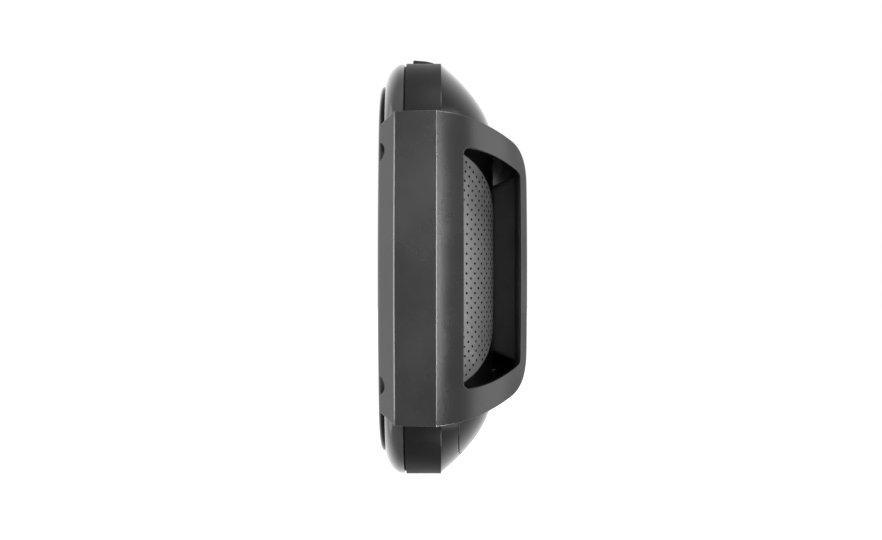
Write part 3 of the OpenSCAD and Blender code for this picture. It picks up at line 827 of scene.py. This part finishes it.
def rear_cover():
    outline = ring(DOME_START)
    holes = [grille_loop(0, 1), grille_loop(0, -1), door_loop(0)]
    holes += [circle_loop(x, y, SCREW_HOLE_R) for x, y in SCREWS]
    holes += [box_loop(x - 1.6, x + 1.6, -2.1, 2.1, 0.3, 3) for x in PINS]
    loops = [outline] + holes
    grid = inside_points(dome_grid(), loops, 0.55)
    verts, faces, normals = sheet(loops, dome_lift, SHELL_T, grid, 0.06)
    return make("dome_shell", verts, faces, [DOME_LOOK], slot="dome_gloss", nodes=["rear_cover"],
                normals=normals)


def screw_wells():
    """Tubes that the case screws sit in, under the rear cover."""
    verts, faces = [], []
    for x, y in SCREWS:
        outer, inner = circle_loop(x, y, 3.4), circle_loop(x, y, SCREW_HOLE_R - 0.02)
        shaft = circle_loop(x, y, 1.2)
        top = dome_at(inset_of(Vector((x, y)))[0]) + 1.9
        seat, end = crease_w - 2.4, crease_w - 0.1
        rings = [(outer, top), (outer, end), (shaft, end), (shaft, seat), (inner, seat), (inner, top)]
        start, n = len(verts), len(outer)
        for loop, w in rings:
            verts += [place(p.x, p.y, w) for p in loop]
        for k in range(len(rings)):
            a, b = start + k * n, start + (k + 1) % len(rings) * n
            faces += bridge(a, b, n)
    return make("screw_wells", verts, faces, [DOME_LOOK], slot="dome_gloss")


def port_door():
    loop = door_loop(0.15)
    grid = inside_points(dome_grid(), [loop], 0.55)
    verts, faces, normals = sheet([loop], dome_lift, SHELL_T, grid, 0.06)
    return make("door_shell", verts, faces, [DOME_LOOK], slot="dome_gloss", nodes=["port_door"],
                normals=normals)


def perforations(outline, sign):
    """Loops of the grille's holes, in staggered columns down the side."""
    hole_r = 0.25
    row_pitch = 2.06
    column_pitch = 1.05
    first_inset = 4.25
    half_column = 26
    steps = 10
    loops = []
    for column in range(16):
        inset = first_inset + column_pitch * column
        across = 1 / math.hypot(1, dome_slope(inset))
        r = SIDE_R - inset
        bend = 0.5 * max(0, 1 - column / 10)
        rows = int(half_column / row_pitch)
        for row in range(-rows, rows + 1):
            along = (row + 0.5 * (column % 2)) * row_pitch
            centre = inset + bend * (along / 16) ** 2
            middle = Vector((sign * (side_cx + (SIDE_R - centre) * math.cos(along / r)),
                             (SIDE_R - centre) * math.sin(along / r)))
            if not contains(outline, middle) or gap_to(outline, middle) < 0.6:
                continue
            outward = Vector((sign * math.cos(along / r), math.sin(along / r)))
            sideways = Vector((-outward.y, outward.x))
            loops.append([middle + outward * (hole_r * across * math.cos(a))
                          + sideways * (hole_r * math.sin(a))
                          for a in [2 * math.pi * k / steps for k in range(steps)]])
    return loops


def grille(sign, node):
    outline = grille_loop(0.15, sign)
    holes = perforations(outline, sign)
    centres = [sum(h, Vector((0, 0))) / len(h) for h in holes]
    grid = [p for p in inside_points(dome_grid(1.2), [outline], 0.5)
            if all((p - c).length > 0.55 for c in centres)]
    verts, faces, normals = sheet([outline] + holes, dome_lift, 0.9, grid, 0.04, 2)
    # Faces from here on are the holes' rims and walls: they take the near-black cloth look as painted
    # shade inside the holes.
    walls = len(faces) - len(holes) * len(holes[0]) * 4
    return make(node + "_mesh", verts, faces, [GRILLE_LOOK, CLOTH_AND_HOLE_SHADE_LOOK], slot="grille_metal",
                nodes=[node], normals=normals, look_of=lambda k: 1 if k >= walls else 0)


def grille_cloth(sign, name):
    """Black cloth behind the grille's holes."""
    outline = grille_loop(0.4, sign)
    grid = inside_points(dome_grid(2.0), [outline], 0.8)
    behind = 0.98
    verts, faces, normals = sheet([outline], lambda p, d: dome_lift(p, behind + d), 0.25, grid, 0.05, 1)
    return make(name, verts, faces, [CLOTH_AND_HOLE_SHADE_LOOK], slot="speaker_black", normals=normals)


# ------------------------------------------------------------------ cradle

SIDE_ARC_R = 36.1
side_arc_w = crease_w + 4
side_arc_y = cradle_half - 36
REAR_FACE = 0.03
REAR_FLAT = 17.5  # half the height of the cradle's flat rear face


def bezier(p0, p1, p2, p3, steps):
    points = [Vector(p) for p in (p0, p1, p2, p3)]
    found = []
    for k in range(steps + 1):
        t = k / steps
        found.append(points[0] * (1 - t) ** 3 + points[1] * 3 * t * (1 - t) ** 2
                     + points[2] * 3 * t**2 * (1 - t) + points[3] * t**3)
    return found


def upper_contour(rear=REAR_FACE):
    """Upper edge of the cradle's side as (w, y) points, from the rear face to the clamp joint."""
    along = arc(side_arc_w, side_arc_y, SIDE_ARC_R, 121, 95, 20)
    join = along[0]
    low = join - (along[1] - join).normalized() * 2.9
    corner = bezier((rear, REAR_FLAT), (rear, 22.6), (low.x, low.y), (join.x, join.y), 14)
    return corner + along[1:] + [Vector((joint_w, cradle_half))]


def height_at(w):
    """Half the height of the cradle's side at a depth."""
    nose = clamp_edge_w - 0.7
    if w > nose:
        r, back = 7.5, 2.5
        fall = math.sqrt(r * r - back * back) - math.sqrt(r * r - (w - nose + back) ** 2)
        return cradle_half - fall
    edge = upper_contour()
    for a, b in zip(edge, edge[1:]):
        if a.x <= w <= b.x and b.x > a.x:
            return a.y + (b.y - a.y) * (w - a.x) / (b.x - a.x)
    return cradle_half


def window_loop():
    """The side window's outline on the side view."""
    r, centre = 24.75, crease_w - 2.2
    front, rear = crease_w - 4.6, plate_w
    front_r, rear_r = 1.3, 2
    rear_x = rear + rear_r - centre
    front_x = front - front_r - centre
    rear_y = math.sqrt((r - rear_r) ** 2 - rear_x**2)
    front_y = math.sqrt((r - front_r) ** 2 - front_x**2)
    rear_a = math.degrees(math.atan2(rear_y, rear_x))
    front_a = math.degrees(math.atan2(front_y, front_x))
    upper = arc(centre + rear_x, rear_y, rear_r, 180, rear_a, 10)
    upper += arc(centre, 0, r, rear_a, front_a, 18)[1:-1]
    upper += arc(centre + front_x, front_y, front_r, front_a, 0, 8)
    front_line = [Vector((upper[-1].x, front_y * k / 10)) for k in range(9, -10, -1)]
    rear_line = [Vector((upper[0].x, rear_y * k / 10)) for k in range(-9, 10)]
    return upper + front_line + mirrored(upper) + rear_line


def arm_skin(sign):
    """An arm's curved skin with its window."""
    upper = upper_contour()
    joint_line = [Vector((joint_w, cradle_half * k / 16)) for k in range(15, -16, -1)]
    rear_line = [Vector((REAR_FACE, REAR_FLAT * k / 10)) for k in range(-9, 10)]
    outline = upper + joint_line + mirrored(upper) + rear_line
    rows, columns = 14, 34
    points = [Vector((joint_w * (i + 0.5) / rows, cradle_half * (2 * (k + 0.5) / columns - 1)))
              for i in range(rows) for k in range(columns)]
    loops = [outline, window_loop()]
    grid = inside_points(points, loops, 0.6)
    return sheet(loops, arm_lift(sign), CRADLE_SKIN, grid)


def swept_block(sign, profile, ends=0.3, steps=40, end_steps=3):
    """A closed (outset, w) profile swept up the cradle's side, with rounded ends."""
    profile = turned(profile, True)
    n = len(profile)
    turns = [math.pi / 2 * k / end_steps for k in range(end_steps)]
    rounding = [(ends * (1 - math.cos(a)), ends * (1 - math.sin(a))) for a in turns]
    verts = []

    def add(share, back=ends, shrink=0):
        for p in offset(profile, shrink):
            y = share * (height_at(p.y) - back)
            r = SIDE_R + p.x
            verts.append(place(sign * (side_cx + math.sqrt(r * r - y * y)), y, p.y))

    for back, shrink in rounding:
        add(-1, back, shrink)
    for k in range(steps + 1):
        add(2 * k / steps - 1)
    for back, shrink in reversed(rounding):
        add(1, back, shrink)
    count = len(verts) // n
    faces = [f for k in range(count - 1) for f in bridge(k * n, (k + 1) * n, n)]
    faces.append(tuple(range(n - 1, -1, -1)))
    faces.append(tuple(range((count - 1) * n, count * n)))
    return verts, faces, n


def joint_wall(sign):
    """The thicker wall of an arm at the clamp joint."""
    rear_w = joint_w - 4.6
    section = soften([(0.3, joint_w, 0.1), (0.3, rear_w, 0.3), (cradle_at(rear_w) - 1.5, rear_w, 0.3),
                      (cradle_at(joint_w) - 0.5, joint_w - 0.02, 0.1)], 3)
    verts, faces, _ = swept_block(sign, section, ends=0.35)
    return verts, faces, None


def mount_boss(x, y):
    """The closed boss round a blind mounting hole."""
    wall, bore = circle_loop(x, y, MOUNT_D / 2 + 1.1), circle_loop(x, y, MOUNT_D / 2 - 0.01)
    n = len(wall)
    foot_w = plate_w - 0.6
    rings = [(wall, foot_w), (wall, 4.4), (offset(wall, 0.2), 4.6), (bore, foot_w), (bore, 4.0)]
    verts = [place(p.x, p.y, w) for loop, w in rings for p in loop]
    faces = bridge(0, n, n) + bridge(n, 2 * n, n)
    faces.append(tuple(range(2 * n, 3 * n)))
    faces += bridge(3 * n, 4 * n, n)
    faces.append(tuple(range(4 * n, 5 * n)))
    faces += bridge(0, 3 * n, n)
    return verts, faces, None


def joined(parts):
    """Several (verts, faces, normals) as one."""
    verts, faces, normals = [], [], {}
    for part in parts:
        start = len(verts)
        verts += part[0]
        faces += [tuple(i + start for i in f) for f in part[1]]
        normals.update({i + start: n for i, n in (part[2] or {}).items()})
    return verts, faces, normals


def tub_part():
    """Rear plate with its roof and floor, drawn as one section and run across."""
    outer = [p for p in upper_contour(0.0) if p.x < dock_front_w + 0.8]
    end_w = outer[-1].x
    inner = [Vector((end_w, 24.5 + 2.5 * (end_w - 3) / 5)), Vector((3, 24.5)), Vector((plate_w, 22.2))]
    upper = [Vector((0, REAR_FLAT * k / 4)) for k in range(1, 4)] + outer + inner
    section = upper + mirrored(upper)

    def across(p, sign):
        r = SIDE_R + cradle_at(p.x) - 1.2
        return place(sign * (side_cx + math.sqrt(r * r - p.y**2)), p.y, p.x)

    verts, faces = stack([(section, -1), (section, 1)], across)
    n, edge = len(section), len(upper) - len(inner) - 1
    outside = {k for k in range(n) if k < edge or k >= n - edge - 1}
    return verts, faces, outside


def rear_housing():
    tub_verts, tub_faces, outside = tub_part()
    # The tub's outer faces take the cradle metal, and its inside faces a dull dark look as painted shade
    # in the recess.
    tub = make("cradle_tub", tub_verts, tub_faces, [CRADLE_LOOK, TUB_INSIDE_SHADE_LOOK], slot="cradle_metal",
               look_of=lambda k: 0 if k in outside else 1)
    tools = []
    for s in (-1, 1):
        tools.append(rod_cutter(s * dock_screw_x, 0, -1, 0.7, 2.0))
        tools.append(rod_cutter(s * dock_screw_x, 0, -1, plate_w + 1, 1.1))
    tools += [rod_cutter(x, y, -1, plate_w + 1, MOUNT_D / 2) for x, y in MOUNT_HOLES]
    tools.append(slab_cutter(5.3, -30, -22, 1.9, 12))
    cut(tub, tools)
    even_shading(tub, 25)

    parts = [arm_skin(1), joint_wall(1), arm_skin(-1), joint_wall(-1)]
    parts += [mount_boss(x, y) for x, y in MOUNT_HOLES]
    verts, faces, normals = joined(parts)
    make("cradle_arms", verts, faces, [CRADLE_LOOK], slot="cradle_metal", normals=normals,
         nodes=["rear_housing"])


def clamp(sign, name, node):
    """A clamp: its side wall, a chamfer and the lip over the bezel, with bright cut edges whose lighter
    metal is also a painted highlight.
    """
    bright = 0.42  # rounding of the cut edge between the side wall and the chamfer
    slope = [(-inset, w + 0.05, 0) for inset, w in bezel_curve(0.35, 14) if inset < 4.3]
    corners = [(0.3, joint_w - 0.36, 0), (cradle_out - 0.09, joint_w - 0.36, 0),
               (cradle_out, joint_w + 0.06, 0.02), (cradle_out, clamp_edge_w, bright),
               (cradle_out - 3.2, lip_w, 0.35), (-4.4, lip_w, 0.2)]
    loop = turned(soften(corners + slope[::-1]), True)
    verts, faces, n = swept_block(sign, loop, ends=0.14, steps=45)

    # Faces along the chamfer's edge and the clamp's rear edge, which take the lighter metal as cut edge
    # and painted highlight.
    def is_bright(k):
        a, b = loop[k % n], loop[(k + 1) % n]
        middle = (a + b) / 2
        front = (middle - Vector(corners[3][:2])).length < bright * 0.8 and (a - b).length < bright
        rear = middle.x > cradle_out - 0.08 and middle.y < joint_w + 0.06
        return 1 if front or rear else 0

    piece = make(name, verts, faces, [CRADLE_LOOK, CUT_EDGE_AND_HIGHLIGHT_LOOK], slot="cradle_metal", nodes=[node],
                 look_of=lambda k: is_bright(k) if k < len(faces) - 2 else 0)
    tools = []
    for y in (-1, 1):
        at = sign * clamp_screw_x, y * clamp_screw_y
        tools.append(rod_cutter(*at, joint_w - 1, lip_w + 1, 1.35))
        tools.append(rod_cutter(*at, lip_w - 2.8, lip_w + 1, 2.4))
    cut(piece, tools)
    even_shading(piece, 28)


def dock_block():
    """The dock block: a wedge with rounded edges that fills the tub behind the unit."""
    (x0, x1), (y0, y1) = dock_x, dock_y
    front_half = y1 - 2
    front = turned(box_loop(x0, x1, -front_half, front_half, 1.2, 5), True)
    loops = [(box_loop(x0, x1, y0, y1, 1.2, 5), plate_w)]
    r = 0.6
    for k in range(5):
        a = math.pi / 2 * k / 4
        loops.append((offset(front, r * (1 - math.cos(a))), dock_front_w - r * (1 - math.sin(a))))
    verts, faces = stack(loops, along_w)
    block = make("dock_shell", verts, faces, [DOCK_LOOK], slot="dock_plastic", nodes=["dock_housing"])
    tools = [rod_cutter(x, 0, 0, 10, 1, 24) for x in PINS]
    tools.append(slab_cutter(5.2, -26, -18, 1.9, 5.4))
    cut(block, tools)
    block.data.set_sharp_from_angle(angle=SHARP)


# ------------------------------------------------------------------ the whole object

cover_glass()
front_bezel()
mid_band()
for key_node in KEYS:
    key_cap(key_node)
rear_cover()
screw_wells()
port_door()
grille(1, "right_grille")
grille(-1, "left_grille")
grille_cloth(1, "right_cloth")
grille_cloth(-1, "left_cloth")
rear_housing()
clamp(1, "right_clamp_shell", "right_clamp")
clamp(-1, "left_clamp_shell", "left_clamp")
dock_block()


# ------------------------------------------------------------------ camera, floor and light

def camera():
    data = bpy.data.cameras.new("camera")
    data.sensor_width = 36
    data.lens = 51.45
    data.clip_start = 0.01
    data.clip_end = 50
    eye = linked("camera", data)
    eye.location = (cad_hi.x + 0.25, -crease_w * MM, -0.0003)
    eye.rotation_euler = (math.pi / 2, 0, math.pi / 2)
    bpy.context.scene.camera = eye


def floor():
    size = 6
    low = cad_lo.z - 0.15
    mesh = bpy.data.meshes.new("floor")
    corners = [(-size, -size, low), (size, -size, low), (size, size, low), (-size, size, low)]
    mesh.from_pydata(corners, [], [(0, 1, 2, 3)])
    look, shader, node, feed = node_tools("pale_floor")
    coords = node("ShaderNodeTexCoord").outputs["Object"]
    cloud = node("ShaderNodeTexNoise", {"Vector": coords}, in_Scale=3.0)
    tone = node("ShaderNodeMapRange", {"Value": cloud.outputs["Fac"]}, in_3=0.84, in_4=0.88)
    feed(Base_Color=tone.outputs[0])
    shader.inputs["Roughness"].default_value = 0.9
    shader.inputs["Emission Color"].default_value = (1, 1, 1, 1)
    shader.inputs["Emission Strength"].default_value = 0.75
    mesh.materials.append(look)
    ground = linked("floor", mesh)
    ground.visible_glossy = False
    ground.visible_diffuse = False


def softbox(name, around, up, distance, width, height, radiance):
    """A soft light. around is its direction in degrees from +X towards +Y, and up its elevation."""
    data = bpy.data.lights.new(name, "AREA")
    data.shape = "RECTANGLE"
    data.size = width
    data.size_y = height
    data.energy = radiance * math.pi * width * height
    lamp = linked(name, data)
    a, e = math.radians(around), math.radians(up)
    way = Vector((math.cos(a) * math.cos(e), math.sin(a) * math.cos(e), math.sin(e)))
    lamp.location = Vector((0, -crease_w * MM, 0)) + way * distance
    lamp.rotation_euler = way.to_track_quat("Z", "Y").to_euler()
    lamp.visible_camera = False


def world(bright=1.25, dim=0.33):
    """White behind the object as the camera sees it, and dimmer on the camera's side."""
    made = bpy.data.worlds.new("studio")
    made.use_nodes = True
    tree = made.node_tree
    tree.nodes.clear()
    link = tree.links.new
    coords = tree.nodes.new("ShaderNodeTexCoord")
    parts = tree.nodes.new("ShaderNodeSeparateXYZ")
    ramp = tree.nodes.new("ShaderNodeMapRange")
    light = tree.nodes.new("ShaderNodeBackground")
    seen = tree.nodes.new("ShaderNodeBackground")
    path = tree.nodes.new("ShaderNodeLightPath")
    mix = tree.nodes.new("ShaderNodeMixShader")
    out = tree.nodes.new("ShaderNodeOutputWorld")
    ramp.interpolation_type = "SMOOTHSTEP"
    for k, value in enumerate((-1.0, -0.1, bright, dim)):
        ramp.inputs[k + 1].default_value = value
    link(coords.outputs["Generated"], parts.inputs[0])
    link(parts.outputs["X"], ramp.inputs["Value"])
    link(ramp.outputs[0], light.inputs["Strength"])
    link(path.outputs["Is Camera Ray"], mix.inputs[0])
    link(light.outputs[0], mix.inputs[1])
    link(seen.outputs[0], mix.inputs[2])
    link(mix.outputs[0], out.inputs[0])
    light.inputs["Color"].default_value = (1, 1, 1, 1)
    seen.inputs["Color"].default_value = (1, 1, 1, 1)
    seen.inputs["Strength"].default_value = 1.0
    bpy.context.scene.world = made


camera()
floor()
world()
softbox("strip_rear", 17, 0, 1.2, 0.1, 1.8, 8.0)
softbox("strip_front", -38, 0, 1.2, 0.5, 1.6, 2.0)
softbox("front_box", -95, 0, 1.2, 0.9, 1.4, 0.8)
softbox("rear_box", 88, 0, 1.2, 0.75, 1.6, 0.85)
softbox("rear_top", 40, 64, 1.2, 0.5, 0.4, 10.0)
softbox("rear_bottom", 40, -64, 1.2, 0.5, 0.4, 10.0)
bpy.context.scene.view_settings.view_transform = "Standard"
